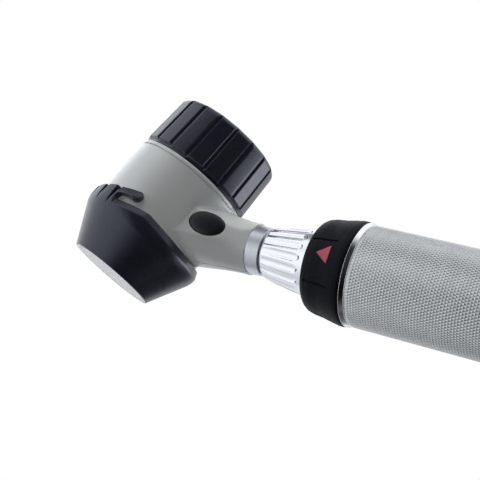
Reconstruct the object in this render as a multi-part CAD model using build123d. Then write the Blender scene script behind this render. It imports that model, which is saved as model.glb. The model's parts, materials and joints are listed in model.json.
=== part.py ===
from build123d import *
import math
import os

# A hand-held skin magnifier: a lit magnifying head on a round battery handle.
# All sizes are millimetres. The row's origin is the centre of the handle's base face
# and +Z runs up the handle. The head looks out sideways: its contact plate faces -X and
# its eyepiece faces +X. The XZ plane is the plane of symmetry, apart from the button.

# ---- driving dimensions -------------------------------------------------------------
HANDLE_R = 15.0                 # outside of the handle tube
CROSSING_Z = 190.0              # where the optical axis meets the handle axis
HEAD_TILT = 17.65               # eyepiece end points this many degrees below level
CROSSING_DEPTH = 20.94          # contact plate to the crossing, along the optical axis

RUN = 0.05                      # radial clearance of a running fit
GAP = 0.2                       # plain gap between pieces that move past each other

# Head, measured along the optical axis from the contact plate.
CONTACT_R = 14.35               # outside of the contact cap's front lip
GLASS_R = 14.0
CAP_EDGE_R = 21.45              # widest edge of the contact cap
CAP_EDGE_Z = 14.2
CAP_SHOULDER_Z = 16.8
SKIRT_R = 20.5                  # outside of the cap's skirt and clip fingers
SNOUT_R = 19.3                  # housing nose that the cap slips over
SNOUT_Z = 14.2
BARREL_R = 19.7                 # widest part of the housing
BARREL_END_Z = 39.55
BARREL_BORE_R = 17.4
OPTICS_R = 16.0                 # outside of the fixed optics tube
OPTICS_BORE_R = 14.8
FOCUS_Z = (39.85, 58.25)        # focus ring, bottom and top
FOCUS_R = (19.79, 19.02)        # focus ring, radius at bottom and top
FOCUS_PANELS = 18
PANEL_GROOVE = (1.4, 0.8)       # width and depth of the grooves between panels
PANEL_START = 7.6               # angle of the first groove
LENS_R = 13.2

# Focusing: two pins on the lens carrier run in helical grooves inside the focus ring.
FOCUS_LEAD = 12.0               # lens travel for one whole turn of the ring
FOCUS_SWING = 80.0              # degrees to each side of the middle setting
PIN_R = 1.25
PIN_Z = 46.5
LENS_TRAVEL = FOCUS_LEAD * FOCUS_SWING / 360

# Neck and handle, measured down the handle from the crossing.
NECK_END = 37.2
NECK_R = 8.0
RING_END = 41.4
SOCKET_TOP = 42.2
RIM_D = 58.2                     # end of the connector's cone, inside the dimmer ring
RIM_R = 10.4
COLLAR_D = 71.6
TUBE_D = 73.0
SOCKET_R = 5.85
STEM_R = 8.0
LUG_TURN = 35.0                 # twist that frees the head from its socket
FLUTES = 18
SET_SCREW_D = 55.1
SET_SCREW_ANGLE = -67.0

# Flat on each side of the neck, and the oval button in the near one.
FLAT_ANGLE = 12.7               # flats close in towards the handle by this much a side
FLAT_X = 15.8
FLAT_Y = 11.46
BUTTON_ALONG = 6.75             # button centre, along the flat from FLAT_X
BUTTON_Z = 28.3
BUTTON_SLANT = 19.0             # long axis, from square across the optical axis
BUTTON_HALF = (5.7, 3.7)
BUTTON_PROUD = 0.5
WALL = 1.8                      # housing wall

# Housing screw, across the neck in the head's own frame.
SCREW_X = 20.5
SCREW_Z = 22.1
SCREW_R = 0.8
SCREW_HEAD_R = 1.5
SCREW_TIP = -7.8
SCREW_SEAT = 6.9                # how far out of the middle plane the head sits

# Handle tube and its contents, measured up from the base face.
CELL_R = 13.1                   # C cell
CELL_H = 50.0
CELL_BASE = 9.0
TUBE_BORE_R = 13.35
TUBE_MOUTH_R = 13.9             # wider bore at the base, for the cap's spigot
CAP_H = 7.7
TUBE_BASE = 8.0
SPIGOT_TOP = 16.0
SPIGOT_BORE_R = 13.2

# Dimmer ring and its release button.
DIMMER_TOP = 58.05              # ends of the ring, down from the crossing
DIMMER_FOOT = 71.35
DIMMER_SHELF = 59.0             # front of the web that rides on the sleeve
DIMMER_BORE_R = 10.0
RELEASE_D = 64.9                # middle of the triangle
RELEASE_ANGLE = -99.5           # where it sits round the handle
RELEASE_LENGTH = 4.1
RELEASE_WIDTH = 5.6
RELEASE_PROUD = 0.3
DIMMER_PANELS = 7
DIMMER_LINE_ANGLE = -82.5       # angle of one dividing groove
DIMMER_LINE_D = 63.8            # middle of the grooves, down from the crossing
DIMMER_LINE_R = 14.9            # radius there of the middle of the cutter
DIMMER_LINE_LEAN = 9.0          # the grooves follow the ring's flank


# ---- frames and plain shapes --------------------------------------------------------
def head_location():
    """The head's own frame: x towards the handle, z towards the eye."""
    tilt = math.radians(HEAD_TILT)
    to_eye = Vector(math.cos(tilt), 0, -math.sin(tilt))
    to_handle = Vector(-math.sin(tilt), 0, -math.cos(tilt))
    plate_centre = Vector(0, 0, CROSSING_Z) - to_eye * CROSSING_DEPTH
    return Plane(origin=plate_centre, x_dir=to_handle, z_dir=to_eye).location


HEAD = head_location()


def turned(*outline):
    """Solid turned about Z from a closed outline of (radius, height) points."""
    return revolve(make_face(Plane.XZ * Polyline(*outline, close=True)), Axis.Z)


def ring(outer, inner, low, high):
    return turned((inner, low), (outer, low), (outer, high), (inner, high))


def disc(radius, low, high):
    return turned((0, low), (radius, low), (radius, high), (0, high))


def down(*outline):
    """As turned, with heights given as distances down the handle from the crossing."""
    return turned(*[(radius, CROSSING_Z - depth) for radius, depth in outline])


def down_ring(outer, inner, near, far):
    return down((inner, near), (outer, near), (outer, far), (inner, far))


def flat_sector(inner, outer, start, span):
    """Flat piece of a ring, between two angles."""
    low = CenterArc((0, 0), inner, start, span)
    high = CenterArc((0, 0), outer, start, span)
    return make_face(low + high + Line(low @ 0, high @ 0) + Line(low @ 1, high @ 1))


def under_slope(height, slope):
    """Everything below a plane that crosses the axis at a height and rises with x."""
    block = Pos(0, 0, -40) * Box(120, 120, 80)
    return Pos(0, 0, height) * Rot(0, -math.degrees(math.atan(slope)), 0) * block


def radial(angle, radius, height=0.0):
    """Place something at an angle round Z, its x pointing outwards."""
    return Rot(0, 0, angle) * Pos(radius, 0, height)


def lens(radius, edge_low, edge_high, bulge_low, bulge_high):
    """A round lens: flat edge, a shallow spherical face at each end."""
    blank = disc(radius, edge_low - bulge_low - 1, edge_high + bulge_high + 1)
    ball_low = (radius ** 2 + bulge_low ** 2) / (2 * bulge_low)
    ball_high = (radius ** 2 + bulge_high ** 2) / (2 * bulge_high)
    low_face = Pos(0, 0, edge_low - bulge_low + ball_low) * Sphere(ball_low)
    high_face = Pos(0, 0, edge_high + bulge_high - ball_high) * Sphere(ball_high)
    return blank & low_face & high_face


# ---- contact cap --------------------------------------------------------------------
def cap_skirt():
    """Skirt of the cap: low cheeks beside the neck, a high grip and two clip fingers."""
    shell = ring(SKIRT_R, SNOUT_R + 2 * RUN + 0.1, CAP_EDGE_Z, 25)
    cheek_front = under_slope(20.7, -0.16)
    cheek_side = under_slope(17.2, 0.2)
    grip_top = under_slope(22.0, 0.265)
    finger_bottom = under_slope(19.26, 0.248)
    cheeks = shell & cheek_front & cheek_side
    grip_zone = extrude(flat_sector(10, 30, 96, 168), 40)
    finger_zone = extrude(flat_sector(10, 30, 75, 210), 40)
    grip = shell & grip_top & grip_zone
    fingers = (shell & grip_top & finger_zone) - finger_bottom
    return cheeks + grip + fingers


def contact_cap():
    """Black conical cap that rests on the skin and slips over the housing's nose."""
    cone = turned(
        (GLASS_R, 0), (CONTACT_R, 0), (CAP_EDGE_R - 0.25, CAP_EDGE_Z - 0.6), (CAP_EDGE_R, CAP_EDGE_Z),
        (CAP_EDGE_R, CAP_SHOULDER_Z - 0.4), (CAP_EDGE_R - 0.4, CAP_SHOULDER_Z),
        (SNOUT_R + RUN, CAP_SHOULDER_Z), (SNOUT_R + RUN, SNOUT_Z - GAP), (18.0, SNOUT_Z - GAP),
        (18.0, 12.3), (13.2, 2.6), (13.2, 1.8), (GLASS_R, 1.8),
    )
    cap = cone + cap_skirt()
    for side in (1, -1):
        for index in range(6):
            groove = Rot(0, 0, 45) * Box(1.1, 1.1, 4.4)
            cap -= radial(side * (97.5 + 15 * index), CAP_EDGE_R, CAP_EDGE_Z + 2.4) * groove
    return cap


# ---- housing ------------------------------------------------------------------------
def barrel():
    """Round body of the head, barely barrel-shaped, with a rounded end."""
    nose = Line((0, SNOUT_Z), (SNOUT_R, SNOUT_Z)) + Line((SNOUT_R, SNOUT_Z), (SNOUT_R, 20.5))
    side = ThreePointArc((SNOUT_R, 20.5), (BARREL_R, 33.0), (19.55, 39.0))
    end = RadiusArc((19.55, 39.0), (18.95, BARREL_END_Z), -0.6)
    close = Line((18.95, BARREL_END_Z), (0, BARREL_END_Z)) + Line((0, BARREL_END_Z), (0, SNOUT_Z))
    solid = revolve(make_face(Plane.XZ * (nose + side + end + close)), Axis.Z)
    band_groove = ring(25, BARREL_R - 0.35, 37.75, 38.15)
    return solid - band_groove


def barrel_hollow():
    return turned(
        (0, SNOUT_Z - 1), (BARREL_BORE_R, SNOUT_Z - 1), (BARREL_BORE_R, 20.2), (16.6, 20.2),
        (16.6, 21.2), (BARREL_BORE_R, 21.2), (BARREL_BORE_R, 36.6), (OPTICS_R, 36.6),
        (OPTICS_R, BARREL_END_Z + 1), (0, BARREL_END_Z + 1),
    )


def neck_loft(shrink, start, end):
    """Neck that narrows from a wide oval at the barrel to a circle, less a wall."""
    stations = ((10.0, 15.0, 9.9), (14.0, 13.8, 9.35), (21.5, 11.5, 8.75), (28.0, 9.4, 8.3),
                (32.5, 8.2, 8.1), (NECK_END, NECK_R, NECK_R))
    sections = []
    for depth, half_y, half_x in stations:
        if start <= depth <= end:
            plane = Plane(origin=(0, 0, CROSSING_Z - depth), x_dir=(1, 0, 0), z_dir=(0, 0, -1))
            sections.append(plane * Ellipse(half_x - shrink, half_y - shrink))
    return loft(sections)


def outside_flats(inset):
    """Two blocks outside the flats that trim the sides of the neck, in the head frame."""
    block = Pos(0, -20, 0) * Box(100, 40, 100)
    near = Pos(FLAT_X, -FLAT_Y + inset, 25) * Rot(0, 0, FLAT_ANGLE) * block
    return near + mirror(near, Plane.XZ)


def button_location(depth=0.0):
    """Frame on the near flat: x along the button's long axis, z out of the housing."""
    turn = math.radians(FLAT_ANGLE)
    along = Vector(math.cos(turn), math.sin(turn), 0)
    outwards = Vector(math.sin(turn), -math.cos(turn), 0)
    centre = Vector(FLAT_X, -FLAT_Y, 0) + along * BUTTON_ALONG + Vector(0, 0, BUTTON_Z)
    slant = math.radians(BUTTON_SLANT)
    long_axis = along * math.cos(slant) + Vector(0, 0, math.sin(slant))
    return Plane(origin=centre + outwards * depth, x_dir=long_axis, z_dir=outwards).location


def oval(grow, low, high):
    """Oval slab of the button's outline, grown by a margin."""
    return extrude(Pos(0, 0, low) * Ellipse(BUTTON_HALF[0] + grow, BUTTON_HALF[1] + grow), high - low)



def screw_location():
    """Across the housing, its z pointing out of the far side."""
    return Plane(origin=(SCREW_X, 0, SCREW_Z), x_dir=(1, 0, 0), z_dir=(0, 1, 0)).location


def housing_whole():
    """Both housing shells as one hollow piece, in the row frame."""
    flats = HEAD * outside_flats(0)
    neck = neck_loft(0, 10.0, NECK_END) - flats
    neck_end = down_ring(NECK_R + 5, NECK_R - 0.5, NECK_END - 0.5, NECK_END + 1)
    spigot = down_ring(6.9, 0, NECK_END - 1, NECK_END + 2.3)
    body = HEAD * barrel() + (neck - neck_end) + spigot
    hollow = neck_loft(WALL, 14.0, 28.0) - HEAD * outside_flats(WALL)
    body = body - HEAD * barrel_hollow() - hollow
    wire_way = down_ring(5.0, 0, 27, 31)
    plug_seat = down_ring(6.0, 0, 30, NECK_END + 3)
    boss = HEAD * screw_location() * disc(1.7, -9.4, 9.4)
    return body - wire_way - plug_seat + boss


def housing_shells():
    """The near and far shells, split on the plane of symmetry."""
    whole = housing_whole()
    room = Box(400, 200, 600)
    near = whole & (Pos(0, -100, 0) * room)
    far = whole & (Pos(0, 100, 0) * room)
    near -= HEAD * button_location() * (oval(0.15, -4, 4) + oval(0.9, -6.6, -1.75))
    screw_bore = disc(SCREW_R, -8.0, 12)
    head_bore = disc(SCREW_HEAD_R + 0.1, SCREW_SEAT, 14)
    near -= HEAD * screw_location() * screw_bore
    far -= HEAD * screw_location() * (screw_bore + head_bore)
    return near, far


def housing_screw():
    body = disc(SCREW_R, SCREW_TIP, SCREW_SEAT) + disc(SCREW_HEAD_R, SCREW_SEAT, SCREW_SEAT + 1)
    recess = Pos(0, 0, SCREW_SEAT + 0.8) * (Box(2.0, 0.4, 0.6) + Box(0.4, 2.0, 0.6))
    return HEAD * screw_location() * (body - recess)


# ---- lighting and optics inside the head ----------------------------------------------
def led_board():
    return HEAD * ring(BARREL_BORE_R - 0.1, 10.9, 19.0, 20.15)


def leds():
    """Six lamps in a circle on the front of the board."""
    lamp = Pos(0, 0, 18.0) * Box(2.8, 2.8, 2.0)
    return HEAD * Compound([radial(60 * index + 30, 14.1) * lamp for index in range(6)])


def polariser_ring():
    return HEAD * ring(17.3, 11.0, 16.4, 17.0)


def light_baffle():
    """Blackened tube that keeps lamp light out of the viewing path."""
    tube = ring(10.9, 10.1, 15.4, 27.0)
    flange = ring(OPTICS_BORE_R, 10.1, 26.0, 27.0)
    return HEAD * (tube + flange)


def viewing_filter():
    return HEAD * disc(10.1, 21.0, 22.5)


def optics_tube():
    """Fixed tube that the lens carrier slides in, with a straight slot for each pin."""
    tube = ring(OPTICS_R, OPTICS_BORE_R, 24.0, 55.6)
    tube += ring(BARREL_BORE_R, OPTICS_R, 34.6, 36.6)
    slot_length = 2 * (LENS_TRAVEL + PIN_R + RUN)
    for side in (90, -90):
        tube -= radial(side, 15.4, PIN_Z) * Box(3, 2 * (PIN_R + RUN), slot_length)
    return HEAD * tube


def focus_retainer():
    """Ring screwed on the end of the optics tube that keeps the focus ring on."""
    body = ring(17.1, OPTICS_R, 53.7, 55.2)
    for angle in (0, 180):
        body -= radial(angle, 17.0, 54.9) * Box(1.2, 1.6, 1.2)
    return HEAD * body


def friction_ring():
    """Thin ring that gives the focus ring its drag."""
    return HEAD * ring(18.2, 17.0, BARREL_END_Z, FOCUS_Z[0] - 0.05)


def pin_groove():
    """Helical groove for one pin, cut from inside the focus ring."""
    reach = LENS_TRAVEL + PIN_R + RUN
    span = 360 * 2 * (PIN_R + RUN + 0.05) / FOCUS_LEAD
    window = flat_sector(OPTICS_R - 1, 17.7, -span / 2, span).face()
    start = Pos(0, 0, -reach) * Rot(0, 0, 360 * reach / FOCUS_LEAD) * window
    twist = -360 * 2 * reach / FOCUS_LEAD
    return Solid.extrude_linear_with_rotation(start, (0, 0, -reach), (0, 0, 2 * reach), twist)


def focus_ring():
    """Black panelled ring that is turned to focus."""
    low, high = FOCUS_Z
    wide, narrow = FOCUS_R
    top = 2.0
    outer = Line((OPTICS_R + RUN, low), (wide - 0.3, low)) + Line((wide - 0.3, low), (wide, low + 0.3))
    outer += Line((wide, low + 0.3), (narrow + 0.09, high - top))
    outer += RadiusArc((narrow + 0.09, high - top), (narrow - 1.9, high), -top)
    inner = Polyline((narrow - 1.9, high), (16.9, high - 0.4), (17.2, high - 1.4), (17.2, 53.5),
                     (OPTICS_R + RUN, 53.5), (OPTICS_R + RUN, low))
    body = revolve(make_face(Plane.XZ * (outer + inner)), Axis.Z)
    taper = math.degrees(math.atan((wide - narrow) / (high - low)))
    length = high - low
    width, depth = PANEL_GROOVE
    cutter = Pos(2 - depth, 0, 1.0 + length / 2) * Box(4, width, length)
    for index in range(FOCUS_PANELS):
        angle = PANEL_START + 360 / FOCUS_PANELS * index
        body -= radial(angle, wide, low) * Rot(0, -taper, 0) * cutter
    for side in (90, -90):
        body -= Pos(0, 0, PIN_Z) * Rot(0, 0, side) * pin_groove()
    return HEAD * body


# ---- lens carrier ---------------------------------------------------------------------
def lens_carrier():
    outer = OPTICS_BORE_R - RUN
    body = turned(
        (12.4, 41.0), (outer, 41.0), (outer, 52.0), (LENS_R, 52.0), (LENS_R, 42.0), (12.4, 42.0),
    )
    for side in (90, -90):
        body -= radial(side, 14.0, PIN_Z) * Rot(0, 90, 0) * Cylinder(PIN_R, 6)
    return HEAD * body


def drive_pins():
    pin = Rot(0, 90, 0) * Cylinder(PIN_R, 4.1)
    return HEAD * Compound([radial(side, 15.4, PIN_Z) * pin for side in (90, -90)])


def field_lens():
    return HEAD * lens(LENS_R, 42.3, 43.6, 1.4, 1.4)


def lens_spacer():
    return HEAD * ring(LENS_R, 12.6, 43.9, 47.6)


def eye_lens():
    return HEAD * lens(LENS_R, 47.9, 49.4, 0.6, 1.6)


def lens_retainer():
    return HEAD * ring(LENS_R, 12.3, 49.8, 51.2)


# ---- button ---------------------------------------------------------------------------
def toggle_button():
    """Oval rubber-faced button, gently domed, with a retaining flange inside."""
    dome = Pos(0, 0, BUTTON_PROUD - 30) * Sphere(30)
    body = oval(0, -1.9, 2.0) & dome
    flange = oval(0.7, -2.7, -1.9)
    stem = disc(1.2, -3.4, -2.7)
    return HEAD * button_location() * (body + flange + stem)


def button_switch():
    return HEAD * button_location() * (Pos(0, 0, -4.95) * Box(4.2, 4.2, 1.1) + disc(1.0, -4.5, -4.3))


def button_board():
    return HEAD * button_location() * (Pos(0, 0, -6.0) * Box(9.0, 5.4, 1.0))


# ---- neck and plug --------------------------------------------------------------------
def neck_ring():
    """Satin ring that closes the neck and clamps the two shells together."""
    return down(
        (6.9, NECK_END), (7.56, NECK_END), (7.42, RING_END - 0.15), (7.25, RING_END), (6.9, RING_END),
        (6.9, SOCKET_TOP - 0.1), (6.0, SOCKET_TOP - 0.1), (6.0, NECK_END + 2.3), (6.9, NECK_END + 2.3),
    )


def bayonet_plug():
    """Plug with two lugs that holds the head in the handle's socket."""
    body = down_ring(6.0, 4.6, 30.5, SOCKET_TOP - 0.1) + down_ring(SOCKET_R - RUN, 4.6, SOCKET_TOP - 0.1, 51)
    lugs = down_ring(6.6, 5.2, 47.1, 48.9) & (Pos(0, 0, CROSSING_Z - 48) * Box(14, 2.4, 4))
    return body + lugs


def plug_insulator():
    return down_ring(4.6, 1.5, 35.0, 50.6)


def plug_contact():
    return down((0, 34.0), (1.5, 34.0), (1.5, 50.7), (1.1, 51.1), (0, 51.1))


# ---- handle top: connector, dimmer, collar ----------------------------------------------
def connector():
    """Fluted conical socket with a long stem that the dimmer turns on."""
    body = down(
        (7.5, SOCKET_TOP), (7.75, SOCKET_TOP + 0.25), (8.6, 46.4), (9.22, 50.5), (9.72, 53.8),
        (RIM_R, RIM_D), (RIM_R, RIM_D + 0.5), (STEM_R, RIM_D + 0.5), (STEM_R, 77.0),
        (3.2, 77.0), (3.2, 52.0), (SOCKET_R, 52.0), (SOCKET_R, SOCKET_TOP),
    )
    lug_track = down_ring(6.7, SOCKET_R - 1, 47.0, 49.0)
    entry = Rot(0, 0, LUG_TURN) * (Pos(0, 0, CROSSING_Z - 44.6) * Box(13.4, 2.8, 5.2))
    body = body - lug_track - (entry - down_ring(5.0, 0, 40, 50))
    slope = math.degrees(math.atan((9.72 - 7.75) / (53.8 - SOCKET_TOP)))
    flute = Rot(0, slope, 0) * Pos(1.75, 0, 0) * Cylinder(2.2, 11.5)
    for index in range(FLUTES):
        body -= radial(360 / FLUTES * (index + 0.5), 8.4, CROSSING_Z - 46.8) * flute
    body -= radial(SET_SCREW_ANGLE, 9.9, CROSSING_Z - SET_SCREW_D) * Rot(0, 90, 0) * Cylinder(0.6, 2.4)
    return body


def set_screw():
    return radial(SET_SCREW_ANGLE, 9.3, CROSSING_Z - SET_SCREW_D) * Rot(0, 90, 0) * Cylinder(0.6, 1.2)


def socket_insulator():
    return down_ring(3.2, 1.6, 52.4, 77.0)


def socket_contact():
    """Sprung pin in the floor of the socket and the rod that feeds it."""
    return down((0, 51.15), (1.1, 51.15), (1.4, 51.5), (1.4, 52.4), (1.6, 52.4), (1.6, 79.0), (0, 79.0))


def dimmer_profile(margin):
    """Outside of the dimmer ring, grown by a margin."""
    return (
        (10.7 + margin, DIMMER_TOP), (11.9 + margin, DIMMER_TOP), (12.6 + margin, 58.4),
        (13.2 + margin, 58.9), (13.85 + margin, 59.85), (14.3 + margin, 61.5), (14.65 + margin, 64.5),
        (15.25 + margin, 67.5), (15.6 + margin, 69.6), (15.6 + margin, 70.7), (15.35 + margin, DIMMER_FOOT),
    )


def release_frame():
    """Middle of the release button: z points out of the ring, x up the handle."""
    angle = math.radians(RELEASE_ANGLE)
    outwards = Vector(math.cos(angle), math.sin(angle), 0)
    return Plane(origin=(0, 0, CROSSING_Z - RELEASE_D), x_dir=(0, 0, 1), z_dir=outwards).location


def triangle(grow, low, high):
    """Triangular slab, its point up the handle, grown by a margin."""
    half = RELEASE_WIDTH / 2 + 1.7 * grow
    tip = RELEASE_LENGTH * 0.6 + 1.5 * grow
    foot = -RELEASE_LENGTH * 0.4 - grow
    face = make_face(Polyline((tip, 0), (foot, half), (foot, -half), close=True))
    return release_frame() * extrude(Pos(0, 0, low) * face, high - low)


def dimmer_ring():
    """Black grip ring that is turned to set the brightness."""
    outline = dimmer_profile(0) + (
        (14.0, DIMMER_FOOT), (13.9, 69.5), (11.9, 60.6), (DIMMER_BORE_R, 60.6), (DIMMER_BORE_R, DIMMER_SHELF),
        (10.7, DIMMER_SHELF),
    )
    body = down(*outline) - triangle(0.12, 10.5, 20)
    for index in range(DIMMER_PANELS):
        angle = DIMMER_LINE_ANGLE + 360 / DIMMER_PANELS * index
        groove = radial(angle, DIMMER_LINE_R, CROSSING_Z - DIMMER_LINE_D) * Rot(0, DIMMER_LINE_LEAN, 0)
        body -= groove * Box(1.4, 1.0, 8.2)
    return body


def release_button():
    """Triangular button in the dimmer ring that unlocks it."""
    skin = down(*dimmer_profile(RELEASE_PROUD), (0, DIMMER_FOOT), (0, DIMMER_TOP))
    return (triangle(0, 11.0, 20) & skin) + triangle(0.7, 11.0, 11.6)


def dimmer_sleeve():
    return down_ring(DIMMER_BORE_R, STEM_R + RUN, DIMMER_SHELF, 71.2)


def rheostat_wiper():
    """Two sprung fingers that bear on the track, on a thin hub."""
    hub = down_ring(11.0, DIMMER_BORE_R, 69.6, 70.3)
    arms = Pos(0, 0, CROSSING_Z - 69.95) * (Box(24.4, 1.6, 0.7))
    feet = Pos(0, 0, CROSSING_Z - 70.5) * (Pos(11.6, 0, 0) * Box(1.2, 1.6, 0.5) + Pos(-11.6, 0, 0) * Box(1.2, 1.6, 0.5))
    return hub + (arms - down_ring(DIMMER_BORE_R, 0, 69, 71)) + feet


def rheostat_track():
    return down_ring(13.0, 10.6, 70.85, COLLAR_D)


def collar():
    """Bright bevelled ring at the top of the tube, threaded into it."""
    return down(
        (STEM_R, COLLAR_D), (15.2, COLLAR_D), (15.6, COLLAR_D + 0.4), (15.6, COLLAR_D + 0.9),
        (HANDLE_R, TUBE_D), (TUBE_BORE_R, TUBE_D), (TUBE_BORE_R, 78.0), (STEM_R, 78.0),
    )


# ---- handle tube and power ----------------------------------------------------------------
def handle_tube():
    top = CROSSING_Z - TUBE_D
    return turned(
        (TUBE_BORE_R, top), (HANDLE_R, top), (HANDLE_R, TUBE_BASE + 0.3), (HANDLE_R - 0.3, TUBE_BASE),
        (TUBE_MOUTH_R, TUBE_BASE), (TUBE_MOUTH_R, SPIGOT_TOP + 1.5), (TUBE_BORE_R, SPIGOT_TOP + 2.5),
    )


def contact_insulator():
    return down_ring(TUBE_BORE_R - 0.05, 2.6, 78.0, 80.0)


def front_contact():
    return down_ring(2.6, 1.6, 78.0, 80.6) + down((0, 79.0), (2.6, 79.0), (2.6, 81.0), (0, 81.0))


def cell(base):
    """One C cell with its raised positive end upwards."""
    top = base + CELL_H
    return turned(
        (0, base), (CELL_R - 2.6, base), (CELL_R - 2.4, base + 0.3), (CELL_R - 0.6, base + 0.3),
        (CELL_R, base + 0.9), (CELL_R, top - 2.4), (CELL_R - 0.6, top - 1.8), (3.4, top - 1.5),
        (3.0, top), (0, top),
    )


def battery_spring():
    """Conical spring between the base cap and the lower cell."""
    turns = 3.0
    wire = 0.55
    path = Helix(pitch=(CELL_BASE - 3.0 - 2 * wire) / turns, height=CELL_BASE - 3.0 - 2 * wire,
                 radius=9.5, center=(0, 0, 3.0 + wire), cone_angle=-30)
    section = Plane(origin=path @ 0, z_dir=path % 0) * Circle(wire)
    return sweep(section, path=path, is_frenet=True)


def base_cap():
    """Screw cap that closes the handle and is the foot it stands on."""
    return turned(
        (0, 0), (13.6, 0), (HANDLE_R - 0.4, 0.35), (HANDLE_R, 1.2), (HANDLE_R, CAP_H), (TUBE_MOUTH_R - 0.08, CAP_H),
        (TUBE_MOUTH_R - 0.08, SPIGOT_TOP), (SPIGOT_BORE_R, SPIGOT_TOP), (SPIGOT_BORE_R, 3.0), (0, 3.0),
    )


def base_gasket():
    return ring(HANDLE_R - 0.25, TUBE_MOUTH_R + 0.02, CAP_H, TUBE_BASE - 0.05)


# ---- write one file for each piece -----------------------------------------------------------
def pieces():
    near, far = housing_shells()
    return {
        "contact_cap": HEAD * contact_cap(),
        "contact_glass": HEAD * disc(GLASS_R, 0, 1.75),
        "glass_retainer": HEAD * ring(13.2, 12.4, 1.75, 2.6),
        "housing_near": near,
        "housing_far": far,
        "housing_screw": housing_screw(),
        "led_board": led_board(),
        "leds": leds(),
        "polariser_ring": polariser_ring(),
        "light_baffle": light_baffle(),
        "viewing_filter": viewing_filter(),
        "optics_tube": optics_tube(),
        "focus_retainer": focus_retainer(),
        "friction_ring": friction_ring(),
        "focus_ring": focus_ring(),
        "lens_carrier": lens_carrier(),
        "drive_pins": drive_pins(),
        "field_lens": field_lens(),
        "lens_spacer": lens_spacer(),
        "eye_lens": eye_lens(),
        "lens_retainer": lens_retainer(),
        "toggle_button": toggle_button(),
        "button_switch": button_switch(),
        "button_board": button_board(),
        "neck_ring": neck_ring(),
        "bayonet_plug": bayonet_plug(),
        "plug_insulator": plug_insulator(),
        "plug_contact": plug_contact(),
        "connector": connector(),
        "set_screw": set_screw(),
        "socket_insulator": socket_insulator(),
        "socket_contact": socket_contact(),
        "dimmer_ring": dimmer_ring(),
        "dimmer_sleeve": dimmer_sleeve(),
        "release_button": release_button(),
        "rheostat_wiper": rheostat_wiper(),
        "rheostat_track": rheostat_track(),
        "collar": collar(),
        "handle_tube": handle_tube(),
        "contact_insulator": contact_insulator(),
        "front_contact": front_contact(),
        "battery_front": cell(CELL_BASE + CELL_H),
        "battery_rear": cell(CELL_BASE),
        "battery_spring": battery_spring(),
        "base_cap": base_cap(),
        "base_gasket": base_gasket(),
    }


os.makedirs("parts", exist_ok=True)
for node, shape in pieces().items():
    export_step(shape, "parts/" + node + ".step")
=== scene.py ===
import bmesh
import bpy
import json
import math
import numpy as np
from mathutils import Matrix, Vector


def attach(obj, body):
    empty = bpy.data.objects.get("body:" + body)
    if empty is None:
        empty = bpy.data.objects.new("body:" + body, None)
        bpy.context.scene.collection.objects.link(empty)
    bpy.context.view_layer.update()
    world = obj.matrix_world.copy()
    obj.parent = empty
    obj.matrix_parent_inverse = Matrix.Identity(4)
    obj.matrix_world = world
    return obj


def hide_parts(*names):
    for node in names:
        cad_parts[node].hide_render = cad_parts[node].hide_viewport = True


# A lit skin magnifier on a battery handle. Shapes are worked out in millimetres, in one of two
# frames: the handle's, which is the row frame, and the head's, whose z runs along the optical
# axis from the contact plate to the eye and whose x points down to the handle.
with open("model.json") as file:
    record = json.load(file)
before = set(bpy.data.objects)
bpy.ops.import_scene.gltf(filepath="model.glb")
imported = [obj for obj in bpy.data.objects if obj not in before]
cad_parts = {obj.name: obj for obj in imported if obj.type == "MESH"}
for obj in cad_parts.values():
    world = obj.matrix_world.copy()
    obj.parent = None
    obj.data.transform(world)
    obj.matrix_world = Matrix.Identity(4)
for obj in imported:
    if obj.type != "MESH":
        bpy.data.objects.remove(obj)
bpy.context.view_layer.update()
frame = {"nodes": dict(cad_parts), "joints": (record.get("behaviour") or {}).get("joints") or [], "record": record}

MM = 0.001


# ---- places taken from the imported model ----
JOINTS = {joint["name"]: joint for joint in frame["joints"]}
MOUNTS = {mount["name"]: mount for mount in frame["record"]["mounts"]}
TO_EYE = Vector(JOINTS["focus_turn"]["axis"]).normalized()
PLATE = Vector(MOUNTS["contact_face"]["pos_m"]) / MM
PLATE_TO_CROSSING = -PLATE.x / TO_EYE.x
CROSSING = PLATE + TO_EYE * PLATE_TO_CROSSING
ACROSS = Vector((0, 1, 0))
TO_HANDLE = ACROSS.cross(TO_EYE)


def axes_matrix(x_axis, y_axis, z_axis, origin):
    """Local millimetres to row millimetres."""
    return Matrix((
        (x_axis.x, y_axis.x, z_axis.x, origin.x),
        (x_axis.y, y_axis.y, z_axis.y, origin.y),
        (x_axis.z, y_axis.z, z_axis.z, origin.z),
        (0, 0, 0, 1),
    ))


HEAD = axes_matrix(TO_HANDLE, ACROSS, TO_EYE, PLATE)
HANDLE = Matrix.Identity(4)


def reach(node, place, behind=False):
    """Lowest and highest z and largest radius of a CAD node in a local frame, in mm."""
    to_local = np.array(place.inverted())
    points = np.array([v.co for v in frame["nodes"][node].data.vertices], float) / MM
    points = points @ to_local[:3, :3].T + to_local[:3, 3]
    if behind:
        points = points[points[:, 0] < 0]
    radius = np.hypot(points[:, 0], points[:, 1])
    return points[:, 2].min(), points[:, 2].max(), radius.max()


# ---- turning numbers into meshes ----
def smooth(value, low, high):
    """Soft step from 0 at low to 1 at high."""
    t = np.clip((value - low) / (high - low), 0, 1)
    return t * t * (3 - 2 * t)


def mix(a, b, t):
    """a where t is 0, b where it is 1."""
    return a + (b - a) * t


def both(a, b, radius=0.0):
    """Inside both shapes, their common edge rounded to a radius."""
    if radius == 0:
        return np.maximum(a, b)
    u, v = a + radius, b + radius
    return np.minimum(np.maximum(u, v), 0) + np.hypot(np.maximum(u, 0), np.maximum(v, 0)) - radius


def either(a, b, radius=0.0):
    return -both(-a, -b, radius)


def without(a, b, radius=0.0):
    return both(a, -b, radius)


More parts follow.
